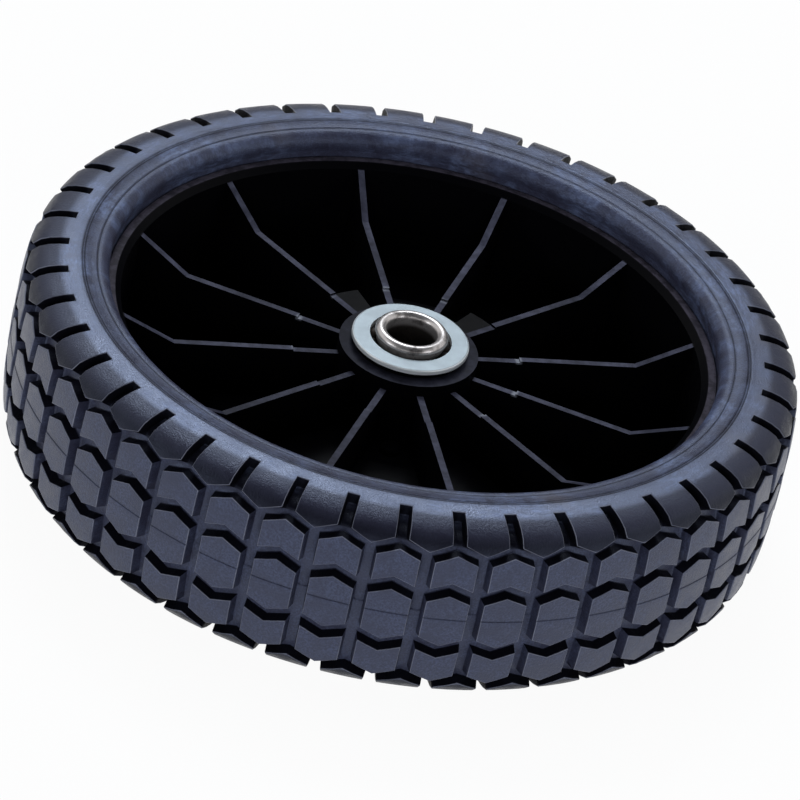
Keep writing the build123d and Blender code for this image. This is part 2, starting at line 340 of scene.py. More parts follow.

# A groove's wall in millimetres: how far its foot lies outside the block's top edge, then the steps up from
# there. Each says how far outside the edge and how deep it is, and two shares: how much painted shade the
# point has, and how far it is rubbed pale with a painted highlight along the top edge
WALL_FOOT = 0.58
WALL_STEPS = (
    (0.50, 2.80, 0.50, 0.0),
    (0.43, 2.55, 0.95, 0.0),
    (0.05, 0.30, 0.95, 0.0),
    (0.00, 0.15, 0.10, 0.7),
    (-0.07, 0.04, 0.0, 1.0),
    (-0.18, 0.00, 0.0, 0.0),
    (-0.55, 0.00, 0.0, 0.0),
)

# Fine mould lines round the sidewall: radii, depth, width, clear space beside them, and how much painted
# shade lies in them
MOULD_LINES = (84.3, 83.7, 80.4)
MOULD_LINE_DEPTH = 0.22
MOULD_LINE_WIDTH = 0.28
MOULD_LINE_CLEAR = MOULD_LINE_WIDTH * 1.6
MOULD_LINE_SHADE = 0.85

# Spacing of the mesh in millimetres, on the blocks, on the lugs, in the grooves and down the sidewall
OUTLINE_SPACING = 2.4
HEXAGON_COLUMNS = (-2.6, 0.0, 2.6)
HEXAGON_ROWS = (-3.4, -1.4, 2.4, 4.0)
PARTING_COLUMNS = (-3.0, -1.0, 1.0, 3.0)
CHEVRON_COLUMNS = (-3.0, 0.0, 3.0)
LUG_COLUMNS = (-5.4, -3.9, 3.9, 5.4)
LUG_COLUMN_START = 1.0
LUG_ROW_START = 1.5
LUG_ROW_STEP = 1.25
LUG_ROW_CLEAR = 0.6
LUG_EDGE_CLEAR = 0.4
SLOT_END_COLUMNS = (-1.0, 1.0)
SLOT_END_ROW = 0.9
FLOOR_ROWS = 14
FLOOR_ROW_CLEAR = (-0.3, 1.2)
SIDEWALL_START = 1.4
SIDEWALL_STEP = 0.8
SIDEWALL_COLUMNS = 8

# How near two points count as one: in a triangulation, as digits of a place, and on the edge of a pitch
FILL_MATCH = 1e-7
PLACE_DIGITS = 4
EDGE_MATCH = 1e-4


class TyreCell:
    """Mesh of one tread pitch, in unrolled coordinates, with how deep and how rubbed each point is."""

    def __init__(self, half, depth):
        self.half = half
        self.depth = depth
        self.index = {}
        self.points = []
        self.faces = []

    def vertex(self, s, t, depth, painted_shade=0.0, wear_and_highlight=0.0):
        """Number of the point at a place. It is added if it is new."""
        key = tuple(round(float(np.float32(x)), PLACE_DIGITS) for x in (s, t, depth))
        if key not in self.index:
            self.index[key] = len(self.points)
            self.points.append((s, t, depth, painted_shade, wear_and_highlight))
        return self.index[key]

    def band(self, lower, upper, closed):
        """Faces between two rows of points."""
        count = len(lower)
        for i in range(count if closed else count - 1):
            j = (i + 1) % count
            self.faces.append((lower[i], lower[j], upper[j], upper[i]))

    def floor(self, t):
        """Depth of the groove floor, which the mould's lower half left a little higher, and its share of
        painted shade.
        """
        shade = np.interp(abs(t), FLOOR_SHADE_SPAN, (OPEN_FLOOR, SHADED_FLOOR))
        rise = np.interp(t, PARTING_HEIGHTS[:2], (FLOOR_STEP, 0.0))
        return self.depth - float(rise), float(shade)

    def wall(self, outline, closed, surface):
        """A wall from the groove floor to a surface, along an outline. Gives its foot and its top line."""
        edge = divided(outline, closed, OUTLINE_SPACING)
        foot = outset(edge, closed, WALL_FOOT)
        previous = [self.vertex(p.x, p.y, *self.floor(p.y)) for p in foot]
        for away, below, painted_shade, wear_and_highlight in WALL_STEPS:
            top = outset(edge, closed, away)
            share = 1 - below / self.depth
            made = []
            for p in top:
                sunk, line = surface(p.y)
                made.append(self.vertex(p.x, p.y, below + share * sunk, max(painted_shade, share * line), wear_and_highlight))
            self.band(previous, made, closed)
            previous = made
        return foot, [tuple(p) for p in top]

    def fill(self, outline, holes, extra, surface):
        """Triangulates an outline less its holes, through the extra points, at the surface's depth."""
        coords, edges = [], []
        for loop in [outline, *holes]:
            base = len(coords)
            coords.extend(Vector(p) for p in loop)
            edges.extend((base + i, base + (i + 1) % len(loop)) for i in range(len(loop)))
        coords.extend(Vector(p) for p in extra)
        found, _, faces, _, _, _ = delaunay_2d_cdt(coords, edges, [], 0, FILL_MATCH)
        border = [tuple(p) for p in outline]
        cut = [[tuple(p) for p in hole] for hole in holes]
        for face in faces:
            middle = sum((found[i] for i in face), Vector((0, 0))) / len(face)
            if not inside(middle, border) or any(inside(middle, hole) for hole in cut):
                continue
            corners = [found[i] for i in face]
            self.faces.append(tuple(self.vertex(p.x, p.y, *surface(p.y)) for p in corners))


def level(t):
    """A plain block top: no depth, not in a groove."""
    return 0.0, 0.0


def parted(t):
    """The parting line is a fine crack across the middle blocks, with painted shade in it; the blocks are a
    little lower above it.
    """
    depth = np.interp(t, PARTING_HEIGHTS, PARTING_DEPTHS)
    line = np.interp(t, PARTING_HEIGHTS, PARTING_LINE)
    return float(depth), float(line)


def turned_over(outline):
    """The same outline beyond the mid-plane, run the other way so that its rubber stays on the left."""
    return [(s, -t) for s, t in reversed(outline)]


def tread_blocks(cell, wide):
    """The middle hexagon and a chevron on each side of it. Gives the outlines of their feet."""
    hexagon = [(-wide, -HEXAGON_CORNER), (0, -HEXAGON_TIP), (wide, -HEXAGON_CORNER)]
    hexagon += [(wide, t) for t in PARTING_HEIGHTS]
    hexagon += [(wide, HEXAGON_CORNER), (0, HEXAGON_TIP), (-wide, HEXAGON_CORNER)]
    hexagon += [(-wide, t) for t in reversed(PARTING_HEIGHTS)]
    near, far = CHEVRON_CORNERS
    near_tip, far_tip = CHEVRON_TIPS
    chevron = [(-wide, near), (0, near_tip), (wide, near), (wide, far), (0, far_tip), (-wide, far)]
    feet = []
    for outline, surface in ((hexagon, parted), (chevron, level), (turned_over(chevron), level)):
        foot, top = cell.wall(outline, True, surface)
        feet.append(foot)
        if surface is parted:
            extra = [(s, t) for t in PARTING_HEIGHTS for s in PARTING_COLUMNS]
            extra += [(s, t) for s in HEXAGON_COLUMNS for t in HEXAGON_ROWS]
        else:
            middle = sum(t for s, t in top) / len(top)
            extra = [(s, middle) for s in CHEVRON_COLUMNS]
        cell.fill(top, [], extra, surface)
    return feet


def shoulder_lugs(cell, settings, section, columns):
    """Two half lugs each side, with a slot between. Gives their foot lines and where the sidewall starts."""
    half = cell.half
    slot = settings.lug_groove / MM / 2
    tip = section.length_at_height(LUG_TIP_HEIGHT)
    corner = section.length_at_height(LUG_CORNER_HEIGHT)
    end = section.length_at_radius(settings.lug_end_radius / MM)
    sidewall = end + SIDEWALL_START
    upper_line = [(-half, tip), (-slot, corner), (-slot, end), (slot, end), (slot, corner), (half, tip)]
    rows = steps(tip + LUG_ROW_START, sidewall - LUG_ROW_CLEAR, LUG_ROW_STEP)
    feet = []
    for side in (1, -1):
        foot, top = cell.wall(upper_line if side > 0 else turned_over(upper_line), False, level)
        feet.append([tuple(p) for p in foot])
        # The rubber beyond the lugs' edge runs on to the sidewall in rows.
        first, last = abs(top[0][1]), abs(top[-1][1])
        right = [(half * side, side * t) for t in rows if t > last + LUG_EDGE_CLEAR]
        far = [(side * s, side * sidewall) for s in reversed(columns)]
        left = [(-half * side, side * t) for t in reversed(rows) if t > first + LUG_EDGE_CLEAR]
        extra = [(s, side * t) for t in rows if t > corner + LUG_COLUMN_START for s in LUG_COLUMNS]
        extra += [(s, side * (end + SLOT_END_ROW)) for s in SLOT_END_COLUMNS]
        cell.fill(top + right + far + left, [], extra, level)
    return feet, sidewall


def groove_floor(cell, block_feet, lug_feet):
    """The floor of the grooves, from the lugs of one side to those of the other and round the blocks."""
    upper, lower = lug_feet
    gap = upper[0][1] - lower[0][1]
    rows = [lower[-1][1] + gap * k / FLOOR_ROWS for k in range(1, FLOOR_ROWS)]
    clear_from, clear_to = FLOOR_ROW_CLEAR
    rows = sorted([t for t in rows if not clear_from < t < clear_to] + list(PARTING_HEIGHTS[:2]))
    right = [(cell.half, t) for t in rows]
    left = [(-cell.half, t) for t in reversed(rows)]
    cell.fill(lower[::-1] + right + upper[::-1] + left, block_feet, [], cell.floor)


def sidewall_rows(section, start):
    """Rows of the smooth sidewall, bead and bore: radius, height, and the painted shade in a fine mould line
    there.
    """
    lines = [section.length_at_radius(radius) for radius in MOULD_LINES]
    stops = steps(start, section.length[-1], SIDEWALL_STEP)[1:]
    for t in lines:
        stops = [x for x in stops if abs(x - t) > MOULD_LINE_CLEAR]
        stops += [t - MOULD_LINE_WIDTH, t, t + MOULD_LINE_WIDTH]
    upper = []
    for t in sorted(stops) + [float(section.length[-1])]:
        line = 1.0 if t in lines else 0.0
        upper.append((*section.at(t, MOULD_LINE_DEPTH * line), MOULD_LINE_SHADE * line))
    upper += [(radius, height, 0.0) for radius, height in BORE_POINTS]
    lower = [(radius, -height, shade) for radius, height, shade in reversed(upper)]
    return upper + lower


# Columns in the table of a pitch's points: angle, radius, height, two shares (of painted shade, and of rubbed
# edge with a painted highlight), and the place along the tread
ANGLE, RADIUS, HEIGHT, PAINTED_SHADE, WEAR_AND_HIGHLIGHT, ALONG = range(6)


def tyre_pitch(settings):
    """One pitch of the tyre, tread and sidewall: half its width, the table of its points, and its faces."""
    crown = settings.crown_radius / MM
    points = [(crown - drop, height) for drop, height in CROWN_DROPS]
    section = TyreSection(points + list(SHOULDER_POINTS) + list(BEAD_POINTS))
    half = math.pi * crown / settings.pitches
    columns = [-half + 2 * half * i / SIDEWALL_COLUMNS for i in range(SIDEWALL_COLUMNS + 1)]
    cell = TyreCell(half, settings.tread_depth / MM)
    block_feet = tread_blocks(cell, settings.block_width / MM / 2)
    lug_feet, sidewall = shoulder_lugs(cell, settings, section, columns)
    groove_floor(cell, block_feet, lug_feet)

    table = []
    for s, t, depth, painted_shade, wear_and_highlight in cell.points:
        radius, height = section.at(t, depth)
        table.append((s / crown, radius, height, painted_shade, wear_and_highlight, s))
    previous = [cell.vertex(s, sidewall, 0.0) for s in columns]
    for radius, height, shade in sidewall_rows(section, sidewall):
        made = list(range(len(table), len(table) + len(columns)))
        table.extend((s / crown, radius, height, shade, 0.0, s) for s in columns)
        cell.band(previous, made, False)
        previous = made
    cell.band(previous, [cell.vertex(s, -sidewall, 0.0) for s in columns], False)
    return half, np.array(table, float), cell.faces


def joined_pitches(half, table, faces, pitches):
    """Links a pitch's faces round the tyre. Gives the rows of the points that are kept, and all the faces."""
    # Points on the right edge of a pitch are the left edge's points of the next one.
    section_place = np.round(table[:, RADIUS : HEIGHT + 1], PLACE_DIGITS)
    on_right = np.isclose(table[:, ALONG], half, atol=EDGE_MATCH)
    on_left = np.isclose(table[:, ALONG], -half, atol=EDGE_MATCH)
    left = {tuple(section_place[i]): int(i) for i in np.where(on_left)[0]}
    kept = np.where(~on_right)[0]
    number = {int(row): n for n, row in enumerate(kept)}
    links = []
    for i in range(len(table)):
        if on_right[i]:
            links.append((number[left[tuple(section_place[i])]], 1))
        else:
            links.append((number[i], 0))
    count = len(kept)
    all_faces = []
    for p in range(pitches):
        for face in faces:
            all_faces.append([(links[i][0] + (p + links[i][1]) * count) % (count * pitches) for i in face])
    return kept, all_faces


def tyre_mesh(name, settings):
    """The whole tyre as one closed mesh: a tread pitch and its strip of sidewall, repeated round the axle."""
    half, table, faces = tyre_pitch(settings)
    kept, all_faces = joined_pitches(half, table, faces, settings.pitches)
    rows = table[kept]
    places = []
    for p in range(settings.pitches):
        angle = rows[:, ANGLE] + settings.clocking + p * (2 * math.pi / settings.pitches)
        x = rows[:, RADIUS] * np.cos(angle) * MM
        y = rows[:, RADIUS] * np.sin(angle) * MM
        places.append(np.column_stack([x, y, rows[:, HEIGHT] * MM]))
    mesh = bpy.data.meshes.new(name)
    mesh.from_pydata(np.vstack(places).tolist(), [], all_faces)
    for label, column in (("painted_shade", PAINTED_SHADE), ("wear_and_highlight", WEAR_AND_HIGHLIGHT)):
        layer = mesh.attributes.new(label, "FLOAT", "POINT")
        layer.data.foreach_set("value", np.tile(rows[:, column], settings.pitches).astype(np.float32))
    settle(mesh)
    return mesh


def settle(mesh):
    """Turns all faces outwards and shades the mesh smooth."""
    work = bmesh.new()
    work.from_mesh(mesh)
    bmesh.ops.recalc_face_normals(work, faces=work.faces)
    open_edges = sum(1 for e in work.edges if not e.is_manifold)
    work.to_mesh(mesh)
    work.free()
    mesh.shade_smooth()
    if open_edges:
        raise RuntimeError(f"{mesh.name} has {open_edges} open edges")


# Finishes


class Finish:
    """A material under construction: one shader and the nodes that feed it."""

    def __init__(self, name, specular=0.5, metallic=0.0):
        self.material = bpy.data.materials.new(name)
        self.material.use_nodes = True
        self.nodes = self.material.node_tree.nodes
        self.links = self.material.node_tree.links
        self.shader = self.nodes["Principled BSDF"]
        self.set("Specular IOR Level", specular)
        self.set("Metallic", metallic)
        self.place = self.nodes.new("ShaderNodeTexCoord").outputs["Object"]

    def set(self, label, value):
        """Gives one of the shader's inputs its value."""
        self.put(self.shader.inputs[label], value)

    def put(self, socket, value):
        """Links a value to a socket, or sets it there if it is constant."""
        if isinstance(value, bpy.types.NodeSocket):
            self.links.new(value, socket)
        elif hasattr(value, "__len__") and len(value) == 3 and socket.type == "RGBA":
            socket.default_value = (*value, 1.0)
        else:
            socket.default_value = value

    def math(self, operation, a, b=0.0):
        """One step of arithmetic."""
        node = self.nodes.new("ShaderNodeMath")
        node.operation = operation
        self.put(node.inputs[0], a)
        self.put(node.inputs[1], b)
        return node.outputs[0]

    def times(self, *values):
        """Product of the values."""
        product = values[0]
        for value in values[1:]:
            product = self.math("MULTIPLY", product, value)
        return product

    def absolute(self, value):
        """A value without its sign."""
        return self.math("ABSOLUTE", value)

    def rest(self, share):
        """What a share leaves of one."""
        return self.math("SUBTRACT", 1.0, share)

    def ramp(self, value, low, high, to_low=0.0, to_high=1.0):
        """Smooth change from one amount to another while a value runs from low to high."""
        node = self.nodes.new("ShaderNodeMapRange")
        node.interpolation_type = "SMOOTHSTEP"
        self.put(node.inputs["Value"], value)
        amounts = {"From Min": low, "From Max": high, "To Min": to_low, "To Max": to_high}
        for label, amount in amounts.items():
            node.inputs[label].default_value = amount
        return node.outputs["Result"]

    def mix(self, share, a, b):
        """Colour a, with a share of colour b."""
        node = self.nodes.new("ShaderNodeMix")
        node.data_type = "RGBA"
        sockets = [x for x in node.inputs if x.enabled]
        for socket, value in zip(sockets, (share, a, b)):
            self.put(socket, value)
        return [x for x in node.outputs if x.enabled][0]

    def noise(self, scale, detail, roughness, vector=None):
        """Cloudy noise, fixed to the piece."""
        node = self.nodes.new("ShaderNodeTexNoise")
        self.put(node.inputs["Vector"], vector if vector is not None else self.place)
        node.inputs["Scale"].default_value = scale
        node.inputs["Detail"].default_value = detail
        node.inputs["Roughness"].default_value = roughness
        return node.outputs["Fac"]

    def attribute(self, name):
        """A share that the mesh holds for each point."""
        node = self.nodes.new("ShaderNodeAttribute")
        node.attribute_name = name
        return node.outputs["Fac"]

    def parts(self, vector):
        """The three parts of a vector."""
        node = self.nodes.new("ShaderNodeSeparateXYZ")
        self.links.new(vector, node.inputs[0])
        return node.outputs

    def upward(self, normal):
        """How far the surface faces along the axle, from -1 to 1, by its flat or its smoothed normal."""
        return self.parts(self.nodes.new("ShaderNodeNewGeometry").outputs[normal])[2]

    def around(self, across, along):
        """Radius, height, and a vector that changes fast with radius or height and slowly round the axle."""
        x, y, z = self.parts(self.place)
        radius = self.math("SQRT", self.math("ADD", self.times(x, x), self.times(y, y)))
        join = self.nodes.new("ShaderNodeCombineXYZ")
        self.links.new(self.times(self.math("DIVIDE", x, radius), along), join.inputs[0])
        self.links.new(self.times(self.math("DIVIDE", y, radius), along), join.inputs[1])
        self.links.new(self.times(self.math("SUBTRACT", radius, z), across), join.inputs[2])
        return radius, z, join.outputs[0]

    def off_rib(self, radius, ribs):
        """Distance sideways from the nearest rib's middle, in metres."""
        x, y, _ = self.parts(self.place)
        turn = self.times(self.math("ARCTAN2", y, x), ribs / (2 * math.pi))
        part = self.absolute(self.math("SUBTRACT", turn, self.math("ROUND", turn)))
        return self.times(part, 2 * math.pi / ribs, radius)

    def bump(self, height, distance, strength):
        """Fine relief."""
        node = self.nodes.new("ShaderNodeBump")
        node.inputs["Strength"].default_value = strength
        node.inputs["Distance"].default_value = distance
        self.links.new(height, node.inputs["Height"])
        self.set("Normal", node.outputs["Normal"])


# Where the tyre's finish changes, in metres: radii, and heights on either side of the mid-plane
SIDEWALL_RADII = (0.0915, 0.0885)
FLAT_SIDE_RADII = (0.0862, 0.0838)
DULL_SIDE_RADII = (0.0815, 0.0835)
BEAD_RADII = (0.0800, 0.0822)
CREST_TOP_RADII = (0.0905, 0.0885)
CREST_FOOT_RADII = (0.0838, 0.0852)
LUG_RADII = (0.0885, 0.0905)
LUG_HEIGHTS = (0.0186, 0.0196)
LUG_TIP_HEIGHTS = (0.0238, 0.0208)
SLOT_HEIGHTS = (0.0192, 0.0206)


def tyre_rubber(settings):
    """Moulded rubber: dusty blocks with rubbed edges and a painted highlight along them, painted shade in the
    grooves, less dust and darker tips on the lugs as painted shade, and a streaked sidewall with stains.
    """
    look = Finish("tyre_rubber")
    radius, height, streak_place = look.around(1000.0, 24.0)
    off_middle = look.absolute(height)
    side = look.ramp(radius, *SIDEWALL_RADII)
    streaks = look.noise(1.0, 8.0, 0.72, streak_place)
    clouds = look.noise(42.0, 5.0, 0.62)
    blots = look.noise(170.0, 5.0, 0.68)
    grain = look.noise(1900.0, 4.0, 0.65)
    bloom = look.times(
        look.ramp(streaks, 0.34, 0.68),
        look.ramp(clouds, 0.40, 0.62, 0.05, 1.0),
        look.ramp(blots, 0.34, 0.60, 0.25, 1.0),
        look.ramp(radius, *BEAD_RADII, 0.95, 1.0),
    )
    dust = look.times(look.ramp(grain, 0.36, 0.66), look.ramp(blots, 0.32, 0.66, 0.04, 0.32))
    # Painted shade on the lugs: they get less dust than the blocks and the sidewall, and are mixed towards
    # the shade colour, most of all at their tips.
    lug = look.times(look.ramp(off_middle, *LUG_HEIGHTS), look.ramp(radius, *LUG_RADII))
    tip_shade = look.ramp(off_middle, *LUG_TIP_HEIGHTS, 0.30, 0.80)
    dust = look.times(dust, look.rest(look.times(lug, 0.8)))
    base = look.mix(look.math("MAXIMUM", look.times(bloom, side), dust), settings.rubber, settings.bloom)
    base = look.mix(look.times(lug, tip_shade), base, settings.painted_shade)
    stains = look.times(look.ramp(look.noise(17.0, 3.0, 0.6), 0.62, 0.72, 0.0, 0.7), side)
    base = look.mix(stains, base, settings.stain)
    # Top edges of the blocks and lugs are rubbed pale and carry a painted highlight.
    rubbed = look.times(look.attribute("wear_and_highlight"), look.ramp(clouds, 0.3, 0.65, 0.35, 1.0))
    base = look.mix(rubbed, base, settings.edge)
    # Painted shade: walls that face up or down, and the slots between the lugs, are coloured dark as deep
    # shade.
    slope = look.ramp(look.absolute(look.upward("True Normal")), 0.15, 0.5, 0.04, 1.0)
    slots = look.ramp(off_middle, *SLOT_HEIGHTS)
    shade = look.times(look.attribute("painted_shade"), look.math("MAXIMUM", slope, slots))
    look.set("Base Color", look.mix(shade, base, settings.painted_shade))
    # The flat of the sidewall is dull, and its crest, where the lug slots end, is rubbed shiny.
    dull = look.times(look.ramp(radius, *FLAT_SIDE_RADII), look.ramp(radius, *DULL_SIDE_RADII, 0.3, 1.0))
    gloss = look.math("SUBTRACT", 0.6, look.times(dull, look.ramp(blots, 0.35, 0.65, 0.42, 0.20)))
    gloss = look.math("SUBTRACT", gloss, look.times(lug, look.times(tip_shade, 0.45)))
    crest = look.times(look.ramp(radius, *CREST_TOP_RADII), look.ramp(radius, *CREST_FOOT_RADII, 0.0, 0.75))
    gloss = look.math("ADD", gloss, crest)
    # Where shade is painted, the rubber has no shine either.
    look.set("Specular IOR Level", look.times(gloss, look.rest(shade)))
    look.set("Specular Tint", settings.sheen)
    look.set("Roughness", look.ramp(blots, 0.3, 0.7, 0.30, 0.46))
    look.bump(look.math("ADD", look.times(grain, 0.6), look.times(streaks, dull)), 0.0004, 0.6)
    return look.material


# Where the rim's finish changes, in metres: off a rib's middle, radii, and heights above the mid-plane
RIB_SIDES = (0.00095, 0.0008)
RIB_TOP_HEIGHTS = (0.0080, 0.0086)
RIB_OUTER_RADII = (0.0734, 0.0730)
RIB_INNER_RADII = (0.0177, 0.0180)
RIB_STEP_RADIUS = 0.0290
RIB_STEP_WIDTHS = (0.0011, 0.0003)
BOSS_RADII = (0.0180, 0.0176)
BOSS_HEIGHTS = (0.0105, 0.0112)
LIP_RADII = (0.0747, 0.0752)
LIP_HEIGHTS = (0.0160, 0.0170)


def rim_plastic(settings):
    """Black moulded plastic, rubbed pale along the tops of the ribs and a little on the boss, with painted
    glints where the ribs step down.
    """
    look = Finish("rim_plastic", specular=0.025)
    up = look.upward("True Normal")
    radius, height, _ = look.around(1.0, 1.0)
    scratch = look.noise(420.0, 4.0, 0.65)
    patches = look.noise(60.0, 3.0, 0.6)
    on_rib = look.times(
        look.ramp(look.off_rib(radius, settings.ribs), *RIB_SIDES),
        look.ramp(height, *RIB_TOP_HEIGHTS),
        look.ramp(radius, *RIB_OUTER_RADII),
        look.ramp(radius, *RIB_INNER_RADII),
    )
    on_boss = look.times(look.ramp(radius, *BOSS_RADII, 0.0, 0.40), look.ramp(height, *BOSS_HEIGHTS))
    rubbed = look.times(
        look.math("MAXIMUM", on_rib, on_boss),
        look.ramp(up, 0.55, 0.85),
        look.ramp(scratch, 0.25, 0.75, 0.45, 1.0),
        look.ramp(patches, 0.25, 0.7, 0.40, 1.0),
    )
    # Painted highlight: glints on the rib tops where they step down, in some patches.
    off_step = look.absolute(look.math("SUBTRACT", radius, RIB_STEP_RADIUS))
    painted_glint = look.times(look.ramp(off_step, *RIB_STEP_WIDTHS), on_rib, look.ramp(patches, 0.50, 0.60))
    lip = look.times(
        look.ramp(radius, *LIP_RADII),
        look.ramp(height, *LIP_HEIGHTS),
        look.ramp(scratch, 0.40, 0.62, 0.45, 1.0),
        look.ramp(up, 0.75, 0.97, 0.25, 1.0),
    )
    base = look.mix(lip, look.mix(rubbed, settings.plastic, settings.scuffed), settings.dirt)
    look.set("Base Color", look.mix(painted_glint, base, settings.painted_glint))
    look.set("Roughness", look.ramp(scratch, 0.2, 0.8, 0.30, 0.45))
    look.bump(scratch, 0.00005, 0.4)
    return look.material


# Edges of the plate outside these radii get a painted highlight, and its darker mottles keep this share of
# colour
FLANGE_RADII = (0.0100, 0.0103)
MOTTLE_SHARE = 0.84

# The race is darker down in the axle bore, inside these radii and nearer to the mid-plane than these heights
BORE_RADII = (0.0070, 0.0066)
BORE_HEIGHTS = (0.0142, 0.0128)


def zinc_plate(settings):
    """Dull zinc plate: matte, faintly mottled, with fine turning marks and a painted highlight along its
    edges.
    """
    look = Finish("zinc_plate", metallic=0.4)
    radius, _, turned = look.around(5200.0, 8.0)
    marks = look.noise(1.0, 4.0, 0.6, turned)
    mottle = look.noise(230.0, 4.0, 0.6)
    darker = [MOTTLE_SHARE * c for c in settings.zinc]
    plate = look.mix(look.ramp(mottle, 0.3, 0.7), darker, settings.zinc)
    # Painted highlight: faces round the plate's edge that don't face along the axle are made bright.
    edge = look.ramp(look.absolute(look.upward("Normal")), 0.97, 0.75)
    edge = look.times(edge, look.ramp(radius, *FLANGE_RADII))
    look.set("Base Color", look.mix(edge, plate, settings.bright))
    look.set("Roughness", look.ramp(marks, 0.2, 0.8, 0.36, 0.50))
    look.bump(marks, 0.00004, 0.4)
    return look.material


def race_steel(settings):
    """Pressed steel, smooth, with brown grease in patches, and darker down inside the bore."""
    look = Finish("race_steel", metallic=0.75)
    radius, height, turned = look.around(3000.0, 5.0)
    marks = look.noise(1.0, 3.0, 0.5, turned)
    dirt = look.noise(260.0, 4.0, 0.6)
    deep = look.ramp(look.absolute(height), *BORE_HEIGHTS, 0.0, 0.9)
    in_bore = look.times(look.ramp(radius, *BORE_RADII), deep)
    darkened = look.math("MAXIMUM", in_bore, look.ramp(dirt, 0.52, 0.70, 0.0, 0.7))
    look.set("Base Color", look.mix(darkened, settings.steel, settings.grime))
    look.set("Roughness", look.ramp(marks, 0.2, 0.8, 0.26, 0.36))
    look.bump(marks, 0.00002, 0.3)
    return look.material


def ball_steel(settings):
    """Balls under old black grease."""
    look = Finish("ball_steel", specular=0.2)
    film = look.noise(500.0, 3.0, 0.6)
    look.set("Base Color", look.mix(look.ramp(film, 0.35, 0.7), settings.grease, settings.grime))
    look.set("Roughness", look.ramp(film, 0.3, 0.8, 0.4, 0.7))
    return look.material


def cover(node, material):
    """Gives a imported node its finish."""
    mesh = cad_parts[node].data
    mesh.materials.clear()
    mesh.materials.append(material)


# Operators for the pieces


class WHEEL_OT_tyre(bpy.types.Operator):
    """Build the moulded tyre"""

    bl_idname = "wheel.tyre"
    bl_label = "Tyre"

    def execute(self, context):
        settings = context.scene.wheel_tyre
        mesh = tyre_mesh("moulded_tyre", settings)
        tyre = bpy.data.objects.new("moulded_tyre", mesh)
        context.scene.collection.objects.link(tyre)
        mesh.materials.append(tyre_rubber(settings))
        tyre.modifiers.new("even_shading", "WEIGHTED_NORMAL")
        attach(tyre, "wheel")
        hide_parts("tyre")
        return {"FINISHED"}


class WHEEL_OT_rim(bpy.types.Operator):
    """Finish the ribbed rim"""

    bl_idname = "wheel.rim"
    bl_label = "Rim"

    def execute(self, context):
        cover("rim", rim_plastic(context.scene.wheel_rim))
        return {"FINISHED"}


class WHEEL_OT_bearings(bpy.types.Operator):
    """Finish the two flanged bearings"""

    bl_idname = "wheel.bearings"
    bl_label = "Bearings"

    def execute(self, context):
        settings = context.scene.wheel_bearings
        zinc = zinc_plate(settings)
        steel = race_steel(settings)
        greased = ball_steel(settings)
        for side in SIDES:
            cover(f"{side}_bearing_flanged_cup", zinc)
            cover(f"{side}_bearing_rear_shell", zinc)
            cover(f"{side}_bearing_front_race", steel)
            cover(f"{side}_bearing_rear_race", steel)
            cover(f"{side}_bearing_balls", greased)
        return {"FINISHED"}


# Stage: sizes in metres, the sensor's in millimetres, angles in degrees and power in watts

SENSOR_WIDTH = 36.0
CLIP_END = 50.0
FLOOR_SIDE = 12.0
FLOOR_GLOW = 0.95
SKY_COLOUR = (0.86, 0.93, 1.0)
SKY_STRENGTH = 0.14
CARD_COLOUR = (0.01, 0.01, 0.012)

# Lamps: name, angle round the axle from the camera, elevation, distance, side of the lamp, power, colour, and
# whether it shows in shiny surfaces
LAMPS = (
    ("overhead", 180.0, 72.0, 1.5, 1.2, 11.0, (0.90, 0.95, 1.0), False),
    ("front", 0.0, 14.0, 2.2, 1.2, 18.0, (0.90, 0.94, 1.0), False),
    ("back", 190.0, 49.0, 1.8, 0.6, 13.5, (0.86, 0.93, 1.0), True),
    ("low_left", -58.0, 16.0, 1.8, 0.6, 3.8, (0.90, 0.94, 1.0), True),
    ("low_right", 62.0, 14.0, 1.8, 0.6, 3.8, (0.90, 0.94, 1.0), True),
)

# Dark cards, which keep light out of the grooves and show dark in shiny surfaces: one over the camera, one
# overhead and one low behind the wheel. Name, angle round the axle from the camera, elevation, distance,
# width, height
CARDS = (
    ("front_card", 0.0, 44.0, 2.4, 4.2, 2.3),
    ("top_card", 0.0, 90.0, 2.3, 3.4, 2.6),
    ("back_card", 180.0, 15.0, 3.0, 6.0, 1.4),
)


def set_camera(scene, settings):
    """Puts the camera at the photograph's place, with its roll and framing."""
    flat = Vector((math.cos(settings.azimuth), math.sin(settings.azimuth), 0))
    back = flat * math.cos(settings.elevation) + Vector((0, 0, math.sin(settings.elevation)))
    forward = -back
    right = Vector((-flat.y, flat.x, 0))
    up = right.cross(forward)
    cos, sin = math.cos(settings.roll), math.sin(settings.roll)
    rolled = Matrix((cos * right - sin * up, sin * right + cos * up, forward))
    middle = settings.picture / 2
    ray = Vector((settings.aim_pixel[0] - middle, middle - settings.aim_pixel[1], settings.focal_pixels))
    turn = Vector((0, 0, 1)).rotation_difference(ray.normalized()).to_matrix()
    axes = turn @ rolled
    camera = bpy.data.cameras.new("photo_camera")
    camera.sensor_width = SENSOR_WIDTH
    camera.lens = camera.sensor_width * settings.focal_pixels / settings.picture
    camera.clip_end = CLIP_END
    holder = bpy.data.objects.new("photo_camera", camera)
    scene.collection.objects.link(holder)
    place = Matrix((axes[0], axes[1], -axes[2])).transposed().to_4x4()
    place.translation = back * settings.distance + Vector((0, 0, settings.aim_height))
    holder.matrix_world = place
    scene.camera = holder


def flat_sheet(name, width, depth, height):
    """A flat rectangle about its origin, at a height."""
    mesh = bpy.data.meshes.new(name)
    x, y = width / 2, depth / 2
    corners = [(-x, -y, height), (x, -y, height), (x, y, height), (-x, y, height)]
    mesh.from_pydata(corners, [], [(0, 1, 2, 3)])
    return mesh


